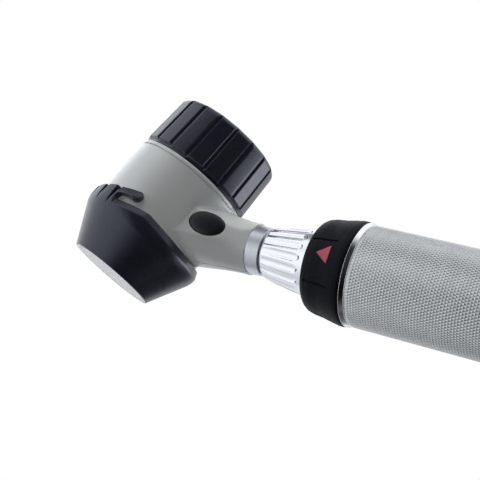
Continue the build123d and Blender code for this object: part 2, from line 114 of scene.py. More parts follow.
def melt(a, b, size):
    """Union with a soft fillet."""
    h = np.maximum(size - np.abs(a - b), 0) / size
    return np.minimum(a, b) - h * h * size / 4


def steps(low, high, step, fine=()):
    """Grid lines from low to high, closer together inside each (start, end, step) stretch."""
    lines = [low]
    while lines[-1] < high:
        here = step
        for start, end, small in fine:
            if start <= lines[-1] < end:
                here = small
            elif lines[-1] < start < lines[-1] + here:
                here = max(start - lines[-1], small)
        lines.append(lines[-1] + here)
    return np.array(lines)


def plain_grid(xs, ys, zs):
    """Points of a box-shaped grid."""
    return np.stack(np.meshgrid(xs, ys, zs, indexing="ij"), -1)


def round_grid(count, radii, zs):
    """Grid lines round the z axis: count steps that close on themselves."""
    angles = np.arange(count) * 2 * math.pi / count
    a, r, z = np.meshgrid(angles, radii, zs, indexing="ij")
    return np.stack((r * np.cos(a), r * np.sin(a), z), -1)


def slope(field, points, step=0.01):
    """Direction in which a field grows, at each point."""
    parts = []
    for axis in range(3):
        shift = np.zeros(3)
        shift[axis] = step
        parts.append(field(points + shift) - field(points - shift))
    found = np.stack(parts, -1)
    return found / np.maximum(np.linalg.norm(found, axis=-1, keepdims=True), 1e-9)


def crossings(field, grid, values, axis, wrap):
    """Grid edges along one axis that pass through the surface, and the point on each."""
    size = values.shape[axis]
    closed = wrap and axis == 0
    a_side = np.arange(size if closed else size - 1)
    b_side = (a_side + 1) % size
    inside_a = np.take(values, a_side, axis) < 0
    inside_b = np.take(values, b_side, axis) < 0
    where = np.argwhere(inside_a != inside_b)
    ahead = where.copy()
    ahead[:, axis] = (ahead[:, axis] + 1) % size
    start, end = grid[tuple(where.T)], grid[tuple(ahead.T)]
    v_start, v_end = values[tuple(where.T)], values[tuple(ahead.T)]
    first = v_start[:, None]
    for _ in range(3):
        share = np.clip(v_start / (v_start - v_end), 0.02, 0.98)[:, None]
        point = start + (end - start) * share
        value = field(point)
        same = (value < 0) == (v_start < 0)
        start = np.where(same[:, None], point, start)
        v_start = np.where(same, value, v_start)
        end = np.where(same[:, None], end, point)
        v_end = np.where(same, v_end, value)
    share = np.clip(v_start / (v_start - v_end), 0, 1)[:, None]
    return where, start + (end - start) * share, first[:, 0] < 0


def cells_round(where, axis, cells, wrap):
    """Numbers of the four grid cells round each crossed edge, in order, or -1 past the grid."""
    one, two = [other for other in range(3) if other != axis]
    corners = []
    for back_one, back_two in ((1, 1), (0, 1), (0, 0), (1, 0)):
        cell = where.copy()
        cell[:, one] -= back_one
        cell[:, two] -= back_two
        if wrap:
            cell[:, 0] %= cells[0]
        valid = np.all((cell >= 0) & (cell < cells), axis=1)
        number = (cell[:, 0] * cells[1] + cell[:, 1]) * cells[2] + cell[:, 2]
        corners.append(np.where(valid, number, -1))
    return np.stack(corners, -1)


def totals(quads, values, count):
    """For every cell, the sum of the values of the crossed edges round it."""
    made = np.zeros(count)
    for column in quads.T:
        keep = column >= 0
        made += np.bincount(column[keep], values[keep], count)
    return made


MIDDLE_PULL = 0.02              # weight that keeps a vertex near its cell's middle on a flat
LEAST_REACH = 0.05              # how far a vertex may always be from that middle, in mm


def best_points(sums, middle, spans):
    """The point in each cell that best fits its planes, no farther from the middle than a span."""
    pull = MIDDLE_PULL * sums[9]
    xx, yy, zz, xy, xz, yz = sums[:6]
    matrix = np.array(((xx + pull, xy, xz), (xy, yy + pull, yz), (xz, yz, zz + pull)))
    right = sums[6:9].T + middle * pull[:, None]
    away = np.linalg.solve(matrix.transpose(2, 0, 1), right[..., None])[..., 0] - middle
    length = np.linalg.norm(away, axis=1, keepdims=True)
    limit = np.maximum(spans, LEAST_REACH)[:, None]
    return middle + away * np.minimum(1, limit / np.maximum(length, 1e-9))


def skin(field, grid, wrap=False):
    """Mesh of the surface where a field is zero, with sharp edges kept.

    Each grid cell that the surface passes through gets one vertex, at the point that best fits
    the planes where the cell's edges meet the surface. A wrapped grid closes round axis 0.
    """
    values = field(grid)
    cells = np.array(values.shape) - 1
    if wrap:
        cells[0] += 1
    count = int(np.prod(cells))
    sums = np.zeros((13, count))
    faces = []
    for axis in range(3):
        where, points, solid_first = crossings(field, grid, values, axis, wrap)
        quads = cells_round(where, axis, cells, wrap)
        normals = slope(field, points)
        offset = np.sum(normals * points, -1)
        x, y, z = normals.T
        rows = (x * x, y * y, z * z, x * y, x * z, y * z, x * offset, y * offset, z * offset,
                np.ones(len(points)), *points.T)
        for total, row in zip(sums, rows):
            total += totals(quads, row, count)
        turn = solid_first if axis != 1 else ~solid_first
        faces.append(np.where(turn[:, None], quads, quads[:, ::-1]))
    used = np.flatnonzero(sums[9])
    sums = sums[:, used]
    corner = np.unravel_index(used, cells)
    opposite = tuple((i + 1) % n for i, n in zip(corner, values.shape))
    spans = np.abs(grid[opposite] - grid[corner]).max(-1)
    vertices = best_points(sums, (sums[10:] / sums[9]).T, spans)
    renumber = np.full(count, -1)
    renumber[used] = np.arange(len(used))
    quads = np.concatenate(faces)
    return vertices, renumber[quads[np.all(quads >= 0, axis=1)]]


CORNER_STEPS = 5                # straight pieces in a rounded corner


def rounded(*corners):
    """Closed outline from (radius, z, corner rounding) points."""
    outline = []
    count = len(corners)
    for index, (r, z, size) in enumerate(corners):
        here = np.array((r, z), float)
        if size == 0:
            outline.append(here)
            continue
        before = np.array(corners[index - 1][:2], float) - here
        after = np.array(corners[(index + 1) % count][:2], float) - here
        to_before, to_after = np.linalg.norm(before), np.linalg.norm(after)
        before, after = before / to_before, after / to_after
        half = math.acos(np.clip(np.dot(before, after), -1, 1)) / 2
        back = min(size / math.tan(half), 0.49 * to_before, 0.49 * to_after)
        size = back * math.tan(half)
        centre = here + (before + after) / np.linalg.norm(before + after) * size / math.sin(half)
        first, last = here + before * back - centre, here + after * back - centre
        sweep = math.atan2(first[0] * last[1] - first[1] * last[0], np.dot(first, last))
        for step in range(CORNER_STEPS + 1):
            turn = sweep * step / CORNER_STEPS
            cos, sin = math.cos(turn), math.sin(turn)
            arm = (cos * first[0] - sin * first[1], sin * first[0] + cos * first[1])
            outline.append(centre + np.array(arm))
    return supported(np.array(outline))


def supported(outline, inset=0.05):
    """Adds a point near each end of every long straight, so that it shades flat."""
    made = []
    for here, after in zip(outline, np.roll(outline, -1, axis=0)):
        made.append(here)
        length = np.linalg.norm(after - here)
        if length > 0.4:
            step = (after - here) / length * inset
            made += [here + step, after - step]
    return np.array(made)


def lathe(outline, segments, shape=None):
    """Solid turned about z, in a number of segments or at given angles.

    shape(angle, r, z) may change the radius round the turn.
    """
    angles = np.arange(segments) * 2 * math.pi / segments if np.isscalar(segments) else segments
    a = angles[:, None]
    r, z = outline[None, :, 0] + 0 * a, outline[None, :, 1] + 0 * a
    if shape is not None:
        r = shape(a, r, z)
    vertices = np.stack((r * np.cos(a), r * np.sin(a), z), -1).reshape(-1, 3)
    return vertices, woven(len(angles), len(outline))


def woven(rows, columns):
    """Quads of a grid of vertices that closes both ways."""
    i, j = np.meshgrid(np.arange(rows), np.arange(columns), indexing="ij")
    i_next, j_next = (i + 1) % rows, (j + 1) % columns
    quads = (i * columns + j, i_next * columns + j, i_next * columns + j_next, i * columns + j_next)
    return np.stack(quads, -1).reshape(-1, 4)


def tidy_mesh(mesh):
    """Joins points that coincide, drops empty faces and turns every face outwards."""
    work = bmesh.new()
    work.from_mesh(mesh)
    bmesh.ops.remove_doubles(work, verts=work.verts, dist=2e-7)
    bmesh.ops.dissolve_degenerate(work, edges=work.edges, dist=1e-8)
    bmesh.ops.recalc_face_normals(work, faces=work.faces)
    work.to_mesh(mesh)
    work.free()


# ---- materials ----
class Paint:
    """A Principled material whose colour, roughness and bump come from noise in real space."""

    def __init__(self, name, metallic=0.0, specular=0.5, coat=0.0, coat_roughness=0.1):
        self.material = bpy.data.materials.new(name)
        self.material.use_nodes = True
        self.tree = self.material.node_tree
        self.shader = self.tree.nodes["Principled BSDF"]
        for socket, value in (("Metallic", metallic), ("Specular IOR Level", specular),
                              ("Coat Weight", coat), ("Coat Roughness", coat_roughness)):
            self.shader.inputs[socket].default_value = value
        self.place = self.tree.nodes.new("ShaderNodeTexCoord").outputs["Object"]
        self.normal = None

    def node(self, kind, **values):
        made = self.tree.nodes.new(kind)
        for key, value in values.items():
            if key in made.inputs:
                made.inputs[key].default_value = value
            else:
                setattr(made, key, value)
        return made

    def noise(self, size_mm, detail=3.0, stretch=(1, 1, 1)):
        """Noise whose features are about size_mm, stretched along the row's axes."""
        scale = self.node("ShaderNodeMapping")
        scale.inputs["Scale"].default_value = tuple(1 / (MM * size_mm * s) for s in stretch)
        self.tree.links.new(self.place, scale.inputs["Vector"])
        noise = self.node("ShaderNodeTexNoise", Scale=1.0, Detail=detail, Roughness=0.6)
        self.tree.links.new(scale.outputs["Vector"], noise.inputs["Vector"])
        return noise.outputs["Fac"]

    def colour(self, dark, light, size_mm, **kind):
        ramp = self.node("ShaderNodeValToRGB")
        ramp.color_ramp.elements[0].position = 0.3
        ramp.color_ramp.elements[1].position = 0.7
        ramp.color_ramp.elements[0].color = (*dark, 1)
        ramp.color_ramp.elements[1].color = (*light, 1)
        self.tree.links.new(self.noise(size_mm, **kind), ramp.inputs["Fac"])
        self.tree.links.new(ramp.outputs["Color"], self.shader.inputs["Base Color"])
        return self

    def roughness(self, low, high, size_mm, **kind):
        limits = {"From Min": 0.3, "From Max": 0.7, "To Min": low, "To Max": high}
        span = self.node("ShaderNodeMapRange", **limits)
        self.tree.links.new(self.noise(size_mm, **kind), span.inputs["Value"])
        self.tree.links.new(span.outputs["Result"], self.shader.inputs["Roughness"])
        return self

    def bump(self, height_mm, size_mm, strength=1.0, **kind):
        made = self.node("ShaderNodeBump", Strength=strength, Distance=height_mm * MM)
        self.tree.links.new(self.noise(size_mm, **kind), made.inputs["Height"])
        if self.normal is not None:
            self.tree.links.new(self.normal, made.inputs["Normal"])
        self.normal = made.outputs["Normal"]
        self.tree.links.new(self.normal, self.shader.inputs["Normal"])
        return self


def black_moulding():
    paint = Paint("black_moulding", specular=0.75)
    paint.shader.inputs["Specular Tint"].default_value = (0.84, 0.87, 1.0, 1.0)
    paint.colour((0.014, 0.016, 0.026), (0.019, 0.021, 0.031), 6)
    paint.roughness(0.26, 0.34, 1.5)
    return paint.bump(0.012, 0.25, detail=2)


def housing_plastic():
    paint = Paint("housing_plastic", specular=0.7, coat=0.6, coat_roughness=0.25)
    paint.colour((0.645, 0.675, 0.67), (0.675, 0.705, 0.70), 9)
    paint.roughness(0.30, 0.38, 2.5)
    return paint.bump(0.008, 0.35, detail=2)


def button_rubber():
    paint = Paint("button_rubber")
    paint.colour((0.007, 0.009, 0.013), (0.010, 0.012, 0.017), 2)
    paint.roughness(0.30, 0.42, 1.0)
    return paint.bump(0.01, 0.2, detail=2)


def grip_rubber():
    paint = Paint("grip_rubber", specular=0.12)
    paint.colour((0.005, 0.0055, 0.008), (0.008, 0.009, 0.012), 3)
    paint.roughness(0.45, 0.58, 1.0)
    return paint.bump(0.02, 0.18, detail=3)


def release_red():
    paint = Paint("release_red")
    paint.colour((0.52, 0.085, 0.13), (0.60, 0.11, 0.16), 1.2)
    paint.roughness(0.32, 0.42, 0.6)
    return paint.bump(0.01, 0.2, detail=2)


def satin_ring():
    paint = Paint("satin_ring", metallic=1.0)
    paint.colour((0.60, 0.62, 0.67), (0.74, 0.76, 0.81), 0.12, stretch=(40, 40, 1))
    paint.roughness(0.26, 0.40, 0.15, stretch=(40, 40, 1))
    return paint.bump(0.01, 0.1, stretch=(60, 60, 1), detail=2)


def chrome_plate():
    paint = Paint("chrome_plate", metallic=1.0)
    paint.colour((0.88, 0.89, 0.91), (0.93, 0.94, 0.96), 5)
    paint.roughness(0.10, 0.17, 1.0)
    return paint.bump(0.004, 0.4, detail=2)


def knurled_chrome():
    paint = Paint("knurled_chrome", metallic=1.0)
    paint.colour((0.68, 0.70, 0.695), (0.76, 0.78, 0.775), 3)
    paint.roughness(0.40, 0.50, 0.6)
    return paint.bump(0.006, 0.2, detail=2)


def black_aluminium():
    paint = Paint("black_aluminium")
    paint.colour((0.012, 0.012, 0.014), (0.022, 0.022, 0.025), 2)
    paint.roughness(0.40, 0.55, 0.8)
    return paint.bump(0.01, 0.15)


def brass():
    paint = Paint("brass", metallic=1.0)
    paint.colour((0.68, 0.50, 0.24), (0.78, 0.60, 0.30), 1.5)
    paint.roughness(0.22, 0.36, 0.8)
    return paint.bump(0.008, 0.2)


def steel():
    paint = Paint("steel", metallic=1.0)
    paint.colour((0.52, 0.52, 0.54), (0.62, 0.62, 0.64), 1)
    paint.roughness(0.22, 0.36, 0.5)
    return paint.bump(0.006, 0.15)


def optical_glass():
    paint = Paint("optical_glass")
    paint.colour((0.95, 0.98, 0.97), (1.0, 1.0, 1.0), 8)
    paint.roughness(0.01, 0.03, 4)
    paint.bump(0.0005, 3)
    paint.shader.inputs["Transmission Weight"].default_value = 1.0
    paint.shader.inputs["IOR"].default_value = 1.5
    return paint


def filter_film():
    paint = Paint("filter_film")
    paint.colour((0.50, 0.52, 0.54), (0.58, 0.60, 0.62), 3)
    paint.roughness(0.22, 0.32, 1.5)
    return paint.bump(0.004, 0.4)


def circuit_board():
    paint = Paint("circuit_board")
    paint.colour((0.02, 0.12, 0.05), (0.04, 0.20, 0.09), 0.8)
    paint.roughness(0.30, 0.45, 0.5)
    return paint.bump(0.02, 0.5)


def led_lens():
    paint = Paint("led_lens", specular=0.6, coat=0.5, coat_roughness=0.05)
    paint.colour((0.80, 0.74, 0.45), (0.92, 0.88, 0.66), 1)
    paint.roughness(0.15, 0.25, 0.6)
    return paint.bump(0.01, 0.4)


def insulator():
    paint = Paint("insulator", specular=0.4)
    paint.colour((0.03, 0.03, 0.034), (0.05, 0.05, 0.055), 2)
    paint.roughness(0.45, 0.6, 0.8)
    return paint.bump(0.015, 0.2)


def cell_jacket():
    paint = Paint("cell_jacket", coat=0.4)
    paint.colour((0.05, 0.055, 0.07), (0.08, 0.085, 0.10), 6)
    paint.roughness(0.28, 0.4, 2)
    return paint.bump(0.005, 0.5)


FINISHES = {make.__name__: make().material for make in (
    black_moulding, housing_plastic, button_rubber, grip_rubber, release_red, satin_ring,
    chrome_plate, knurled_chrome, black_aluminium, brass, steel, optical_glass, filter_film,
    circuit_board, led_lens, insulator, cell_jacket,
)}
NODE_SLOT = {part["node"]: part["material_slot"] for part in frame["record"]["subparts"]}


def stand_for(node, mesh_parts, place, body, crease=32):
    """A detailed piece in place of one CAD node, in its finish.

    Its vertices are in a local frame in mm, and edges sharper than the crease angle stay sharp.
    """
    vertices, faces = mesh_parts
    to_row = np.array(place)
    vertices = (np.asarray(vertices) @ to_row[:3, :3].T + to_row[:3, 3]) * MM
    mesh = bpy.data.meshes.new(node + "_piece")
    mesh.from_pydata(vertices.tolist(), [], [list(map(int, face)) for face in faces])
    piece = bpy.data.objects.new(mesh.name, mesh)
    bpy.context.scene.collection.objects.link(piece)
    tidy_mesh(mesh)
    mesh.materials.append(FINISHES[NODE_SLOT[node]])
    mesh.polygons.foreach_set("use_smooth", np.ones(len(mesh.polygons), bool))
    mesh.set_sharp_from_angle(angle=math.radians(crease))
    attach(piece, body)
    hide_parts(node)


# ---- housing ----
# Neck sizes run down the handle from the crossing of its axis with the optical one.
NOSE_Z, BARREL_END, BARREL_R = reach("housing_far", HEAD, behind=True)
NOSE_R = BARREL_R - 0.4
RIM_R = BARREL_R - 0.15
NOSE_TOP = 20.5                 # the barrel is straight below this and swells above it
BARREL_CURVE = np.polyfit((NOSE_TOP, 33.0, 39.0), (NOSE_R, BARREL_R, RIM_R), 2)
BORE_R = 17.4
BORE_STEP = 36.6                # the bore narrows here to hold the optics tube
RIB_R, RIB_LOW, RIB_HIGH = 16.6, 20.2, 21.2     # rib in the bore above the lamp board
TUBE_R = 16.05
NECK_END = CROSSING.z - reach("neck_ring", HANDLE)[1]
# distance down, half-width across, half-width fore and aft
NECK_STATIONS = ((10, 15, 9.9), (14, 13.8, 9.35), (21.5, 11.5, 8.75), (28, 9.4, 8.3),
                 (32.5, 8.2, 8.1), (NECK_END, 8, 8))
NECK_Y = np.polyfit([depth for depth, _, _ in NECK_STATIONS], [y for _, y, _ in NECK_STATIONS], 4)
NECK_X = np.polyfit([depth for depth, _, _ in NECK_STATIONS], [x for _, _, x in NECK_STATIONS], 4)
NECK_TOP = 10                   # where those stations start
WALL = 1.8
HOLLOW_TOP, HOLLOW_FOOT = 14, 28
PLUG_R, WIRE_R = 6, 5           # bores below the hollow
FLAT_TURN = math.radians(12.7)
FLAT_X, FLAT_Y = 15.8, 11.46
BUTTON_ALONG, BUTTON_Z, BUTTON_HALF = 6.75, 28.3, (5.7, 3.7)
BUTTON_SLANT = math.radians(19.0)
SEAM_WIDTH = 0.5                # bevel on both sides of the parting line
SEAM_GAP = 0.04                 # how far each shell stays from the middle plane
BEAD_Z = 37.95                  # engraved line under the raised bead
BEAD_END = math.radians(2.5)    # where the bead stops, short of the middle plane
BEAD_HEIGHT, BEAD_CORNER = 0.12, 1.2
LINE_HALF, LINE_DEPTH = 0.17, 0.38
BUTTON_GAP = 0.12
POCKET_GROW = 0.9               # the pocket behind the hole is this much wider, for the flange
POCKET_MIDDLE, POCKET_HALF = -4.175, 2.425      # outwards from the flat
SCREW_X, SCREW_Z, SCREW_SEAT, SCREW_HOLE_R = 20.5, 22.1, 6.9, 1.6


def barrel_radius(z):
    return np.where(z < NOSE_TOP, NOSE_R, np.polyval(BARREL_CURVE, np.clip(z, NOSE_TOP, 40)))


def row_of_head(p):
    """Head-frame points as row x, y and distance down the handle from the crossing."""
    x = PLATE.x + p[..., 0] * TO_HANDLE.x + p[..., 2] * TO_EYE.x
    z = PLATE.z + p[..., 0] * TO_HANDLE.z + p[..., 2] * TO_EYE.z
    return x, p[..., 1], CROSSING.z - z


def oval(u, v, half_u, half_v):
    """Distance from an oval of two half-widths, exact on its line."""
    near, grade = np.hypot(u / half_u, v / half_v), np.hypot(u / half_u ** 2, v / half_v ** 2)
    return near * (near - 1) / np.maximum(grade, 1e-6)


def neck_field(p, inset=0.0):
    x, y, depth = row_of_head(p)
    d = np.clip(depth, NECK_TOP, NECK_END)
    return oval(x, y, np.polyval(NECK_X, d) - inset, np.polyval(NECK_Y, d) - inset)


def flat_field(p):
    """Outside of the two flats beside the neck."""
    x, y = p[..., 0] - FLAT_X, np.abs(p[..., 1]) - FLAT_Y
    return x * math.sin(FLAT_TURN) + y * math.cos(FLAT_TURN)


def bead_field(p):
    """Negative over the raised bead, zero along the engraved line round its edge."""
    angle = np.abs(np.arctan2(p[..., 1], p[..., 0])) - BEAD_END
    return both(-angle * BARREL_R, BEAD_Z - p[..., 2], BEAD_CORNER)


def button_axes():
    """Near flat: the button's centre, its long and short axes, and the way out."""
    along = np.array((math.cos(FLAT_TURN), math.sin(FLAT_TURN), 0))
    out = np.array((math.sin(FLAT_TURN), -math.cos(FLAT_TURN), 0))
    centre = np.array((FLAT_X, -FLAT_Y, BUTTON_Z)) + along * BUTTON_ALONG
    long_axis = along * math.cos(BUTTON_SLANT) + np.array((0, 0, math.sin(BUTTON_SLANT)))
    return centre, long_axis, np.cross(out, long_axis), out


def button_opening(p):
    """Hole for the button and the wider pocket behind it."""
    centre, long_axis, short_axis, outward = button_axes()
    u, v, out = (p - centre) @ long_axis, (p - centre) @ short_axis, (p - centre) @ outward
    hole = both(oval(u, v, BUTTON_HALF[0] + BUTTON_GAP, BUTTON_HALF[1] + BUTTON_GAP), -4 - out)
    wide = oval(u, v, BUTTON_HALF[0] + POCKET_GROW, BUTTON_HALF[1] + POCKET_GROW)
    return hole, both(wide, np.abs(out - POCKET_MIDDLE) - POCKET_HALF)


def housing_hollow(p, r):
    """Bore of the barrel, hollow of the neck and the two bores that follow it down."""
    z = p[..., 2]
    bore = np.where((z > RIB_LOW) & (z < RIB_HIGH), RIB_R, BORE_R)
    barrel = np.minimum(np.maximum(r - bore, z - BORE_STEP), r - TUBE_R)
    x_row, y_row, depth = row_of_head(p)
    r_row = np.hypot(x_row, y_row)
    neck = np.maximum(neck_field(p, WALL), flat_field(p) + WALL)
    neck = np.maximum(neck, np.maximum(HOLLOW_TOP - depth, depth - HOLLOW_FOOT))
    wires = np.maximum(r_row - WIRE_R, np.maximum(27 - depth, depth - 31))
    plug = np.maximum(r_row - PLUG_R, 30 - depth)
    return barrel, np.minimum(np.minimum(neck, wires), plug)


def housing_field(p, near_side):
    """Half of the housing in the head frame, the near half or its far mirror image."""
    p = p if near_side else p * np.array((1, -1, 1))
    x, y, z = p[..., 0], p[..., 1], p[..., 2]
    r = np.hypot(x, y)
    bead = bead_field(p)
    side = r - barrel_radius(z) - BEAD_HEIGHT * smooth(-bead, 0.1, 0.5)
    barrel = both(both(side, z - BARREL_END, 0.9), NOSE_Z - z, 0.25)
    line = np.maximum(np.abs(bead) - LINE_HALF, barrel_radius(z) - LINE_DEPTH - r)
    barrel = without(barrel, line)
    depth = row_of_head(p)[2]
    neck = both(neck_field(p), depth - NECK_END, 0.25)
    neck = np.maximum(neck, 6 - depth)
    fillet = mix(0.8, mix(2.4, 0.5, smooth(np.abs(y), 2, 10.5)), smooth(z, 22, 31))
    body = either(barrel, both(melt(barrel, neck, fillet), flat_field(p), 0.25))
    for hollow in housing_hollow(p, r):
        body = without(body, hollow)
    if near_side:
        hole, pocket = button_opening(p)
        body = without(without(body, hole, 0.12), pocket)
    else:
        recess = np.maximum(np.hypot(x - SCREW_X, z - SCREW_Z) - SCREW_HOLE_R, y + SCREW_SEAT)
        body = without(body, recess)
    edge = (body + y + SEAM_WIDTH / 2) / math.sqrt(2)
    return np.maximum(np.maximum(body, y + SEAM_GAP), edge)


def housing_half(near_side):
    """One shell: the far one is worked out on the near side and turned over."""
    xs = steps(-20.6, 42, 0.36)
    zs = steps(13.7, 41.2, 0.34, [(37.3, 38.7, 0.11)])
    ys = steps(-20.6, 0.3, 0.36, [(-0.6, 0.3, 0.1)])
    flip = np.array((1, 1 if near_side else -1, 1))
    vertices, faces = skin(lambda p: housing_field(p, near_side), plain_grid(xs, ys, zs) * flip)
    node = "housing_near" if near_side else "housing_far"
    stand_for(node, (vertices, faces), HEAD, "head", 28)


# ---- contact cap ----
CAP_LIP_R = 14.35
GLASS_R = 14.2
CAP_EDGE_R = 21.45
CONE_TOP = (21.2, 13.6)
SNOUT_GAP_R = NOSE_R + 0.08
# height above the plate, inside radius
CAP_INSIDE = ((1.79, GLASS_R), (1.8, 13.2), (2.6, 13.2), (12.3, 18.0), (13.99, 18.0),
              (14.0, SNOUT_GAP_R))
CLIP_R = 20.4                   # lengths round the clip are measured at this radius
GRIP_START, CLIP_TIP, BULGE_ANGLE = math.radians(96), math.radians(76), math.radians(79.5)
BULGE_R = 1.65                  # thickened end of the clip finger
GROOVE_FIRST, GROOVE_PITCH = 100.0, 15.0        # grip grooves, in degrees from the neck


def capsule_gap(z, middle, half, angle, end, radius):
    """Slot that runs along the rim from a rounded end towards smaller angles."""
    past = np.maximum((angle - end) * radius + half, 0)
    return np.hypot(past, z - middle) - half


def cap_field(p):
    x, y, z = p[..., 0], p[..., 1], p[..., 2]
    r = np.hypot(x, y)
    angle = np.abs(np.arctan2(y, x))
    cheek_top = np.minimum(20.7 - 0.16 * x, 17.2 + 0.2 * x)
    grip_top = 22.0 + 0.265 * x
    finger_low = 19.26 + 0.248 * x
    slot_mid, slot_half = (finger_low + cheek_top) / 2, (finger_low - cheek_top) / 2
    grip_part = smooth(angle, GRIP_START - 0.06, GRIP_START + 0.06)
    grip_part = np.where((angle > CLIP_TIP - 0.15) & (z > slot_mid), 1.0, grip_part)
    crease = mix(cheek_top, grip_top, grip_part) - 2.3
    grade = (CONE_TOP[0] - CAP_LIP_R) / CONE_TOP[1]
    cone = (r - CAP_LIP_R - grade * z) / math.hypot(1, grade)
    lean = mix(0.44, 0.08, smooth(np.degrees(angle), GROOVE_FIRST - 4, GROOVE_FIRST + 1))
    band = (r - CAP_EDGE_R + lean * (z - crease)) / np.hypot(1, lean)
    outer = both(both(cone, r - CAP_EDGE_R, 0.8), band, 0.2)
    outer = both(outer, -z, 0.2)
    cheeks = both((z - 20.7 + 0.16 * x) / 1.013, (z - 17.2 - 0.2 * x) / 1.02, 0.3)
    full = both(z - grip_top, (CLIP_TIP - angle) * CLIP_R, 1.5)
    slot = capsule_gap(z, slot_mid, slot_half, angle, GRIP_START, CLIP_R)
    bulge = np.hypot((angle - BULGE_ANGLE) * CLIP_R, z - 20.1 - 0.25 * x) - BULGE_R
    bulge = np.maximum(bulge, -(r - 17))
    clip = either(without(full, slot, 0.15), bulge, 0.4)
    top = either(cheeks, clip, 0.0)
    outer = both(outer, top, 0.3)
    inner = np.interp(z, *zip(*CAP_INSIDE))
    body = np.maximum(outer, inner - r)
    middle = (np.degrees(angle) - GROOVE_FIRST + GROOVE_PITCH / 2) % GROOVE_PITCH - GROOVE_PITCH / 2
    s = np.radians(middle) * 20.8
    rise = np.clip((z - 13.8) / (grip_top - 13.8), 0, 1.3)
    width = 1.05 * rise ** 0.7 - 0.05
    floor = CAP_EDGE_R - 0.5 - 1.8 * rise
    groove = np.maximum(np.abs(s) - width, floor - r)
    groove = np.where(np.degrees(angle) > GROOVE_FIRST - GROOVE_PITCH / 2, groove, 1.0)
    return without(body, groove, 0.12)


def contact_cap():
    grid = round_grid(420, steps(12.8, 21.9, 0.3), steps(-0.25, 23.2, 0.28))
    stand_for("contact_cap", skin(cap_field, grid, wrap=True), HEAD, "contact_cap", 30)


def contact_glass():
    low, high, _ = reach("contact_glass", HEAD)
    outline = rounded((0, low, 0), (GLASS_R, low, 0.15), (GLASS_R, high, 0.1), (0, high, 0))
    stand_for("contact_glass", lathe(outline, 128), HEAD, "contact_cap")


# ---- focus ring ----
PANELS = 18
PANEL_PITCH = 360 / PANELS
PANEL_START = 7.6
# Half of a groove, as (distance from its middle, depth), from its rounded edge to its floor.
GROOVE_HALF = ((0.90, 0.0), (0.76, 0.05), (0.62, 0.18), (0.24, 0.66), (0.14, 0.76))
GROOVE_SHAPE = [(-shift, depth) for shift, depth in GROOVE_HALF] + list(reversed(GROOVE_HALF))


def focus_ring():
    low, high, widest = reach("focus_ring", HEAD)
    narrow = widest - 0.77
    top = 2.0
    side = [(widest - 1.0, low), (widest - 0.9, low + 0.5), (widest - 0.2, low + 1.1),
            (widest, low + 1.25)]
    straight = np.linspace(low + 1.25, high - top, 24)
    taper = (narrow + 0.09 - widest) / (high - top - low - 1.25)
    side += [(widest + taper * (z - low - 1.25), z) for z in straight[1:]]
    centre = (narrow + 0.09 - top, high - top)
    for step in range(1, 15):
        turn = math.pi / 2 * step / 14
        side.append((centre[0] + top * math.cos(turn), centre[1] + top * math.sin(turn)))
    side += [(16.95, high - 0.25), (17.05, high - 0.6), (17.2, high - 1.4), (17.2, 53.5), (16.05, 53.5),
             (16.05, low + 0.2), (16.25, low)]
    outline = np.array(side)
    outer_count = 3 + len(straight) + 14
    offsets = []
    half_panel = math.radians(PANEL_PITCH) / 2
    for panel in range(PANELS):
        groove_at = math.radians(PANEL_START + PANEL_PITCH * panel)
        offsets += [(groove_at + shift / widest, depth) for shift, depth in GROOVE_SHAPE]
        for share in np.linspace(0.2, 0.8, 9):
            offsets.append((groove_at + share * 2 * half_panel, 0.0))
    offsets.sort()
    angles = np.array([angle for angle, _ in offsets])
    depths = np.array([depth for _, depth in offsets])

    def shape(a, r, z):
        line = widest + taper * (z - low - 1.25)
        across = (np.degrees(a) - PANEL_START) % PANEL_PITCH - PANEL_PITCH / 2
        flat = 0.6 * widest * (1 - math.cos(half_panel)) * (1 - (across / (PANEL_PITCH / 2)) ** 2)
        depth = depths[:, None]
        cut = np.minimum(r - flat * (r > 16.9), line - flat - depth)
        keep = np.arange(r.shape[1])[None, :] >= outer_count
        return np.where(keep, r, cut)

    stand_for("focus_ring", lathe(outline, angles, shape), HEAD, "focus_ring", 24)


# ---- button ----
def toggle_button():
    """Domed oval with a rounded edge, on a stem that ends in a flange."""
    centre, long_axis, short_axis, out = (Vector(axis) for axis in button_axes())
    place = HEAD @ axes_matrix(long_axis, short_axis, out, centre)
    dome = [(0.0, 0.62), (0.25, 0.60), (0.5, 0.52), (0.7, 0.40), (0.84, 0.26), (0.93, 0.10),
            (0.98, -0.10), (1.0, -0.40), (1.0, -1.9)]
    count, gap = 96, 0.03
    vertices, faces = [], []
    turns = np.arange(count) * 2 * math.pi / count
    rings = [(share, height, 0.0) for share, height in dome]
    rings += [(1.0, -1.9, 0.7), (1.0, -2.7, 0.7), (0.0, -2.7, 0.0)]
    for share, height, grow in rings:
        a, b = (max(half * share + grow - gap, 0) for half in BUTTON_HALF)
        vertices += [(a * math.cos(t), b * math.sin(t), height) for t in turns]
    for start in range(0, (len(rings) - 1) * count, count):
        for i in range(count):
            here, after = start + i, start + (i + 1) % count
            faces.append((here, after, after + count, here + count))
    stand_for("toggle_button", (np.array(vertices), faces), place, "toggle_button", 40)


# ---- neck ring, connector, dimmer, collar ----
def down(*corners):
    """Outline from (radius, distance down the handle from the crossing, rounding) points."""
    return rounded(*[(r, CROSSING.z - depth, size) for r, depth, size in corners])


def neck_ring():
    start = CROSSING.z - reach("neck_ring", HANDLE)[1]
    end = start + 4.4
    outline = down(
        (6.9, start, 0), (7.56, start, 0.12), (7.42, end, 0.22), (6.7, end, 0), (6.7, end + 0.5, 0.05),
        (6.0, end + 0.5, 0), (6.0, start + 2.3, 0), (6.9, start + 2.3, 0),
    )
    stand_for("neck_ring", lathe(outline, 200), HANDLE, "head", 30)


